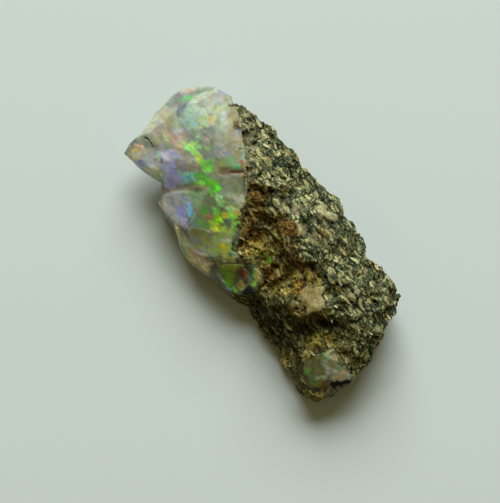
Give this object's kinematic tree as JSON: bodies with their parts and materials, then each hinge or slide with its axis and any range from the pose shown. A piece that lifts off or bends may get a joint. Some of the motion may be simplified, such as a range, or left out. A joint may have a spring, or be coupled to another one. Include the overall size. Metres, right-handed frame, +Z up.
{
  "type": "rough boulder opal",
  "caption": "Rough broken stone: speckled volcanic rock with a glassy precious opal cap over one end and a small opal patch at the other.",
  "frame": {"origin": "centre of the stone's footprint box, on the flat break that it rests on", "axes": "+X along the stone from the opal end to the rock end, +Y across it, +Z up from the resting break"},
  "size_m": [0.0378, 0.0174, 0.0095],
  "materials": {
    "speckled_rock": "matte",
    "precious_opal": "polished",
    "grey_opal": "gloss"
  },
  "bodies": {
    "root": {"host_rock": "speckled_rock", "opal_cap": "precious_opal", "opal_end_patch": "grey_opal"}
  },
  "joints": []
}
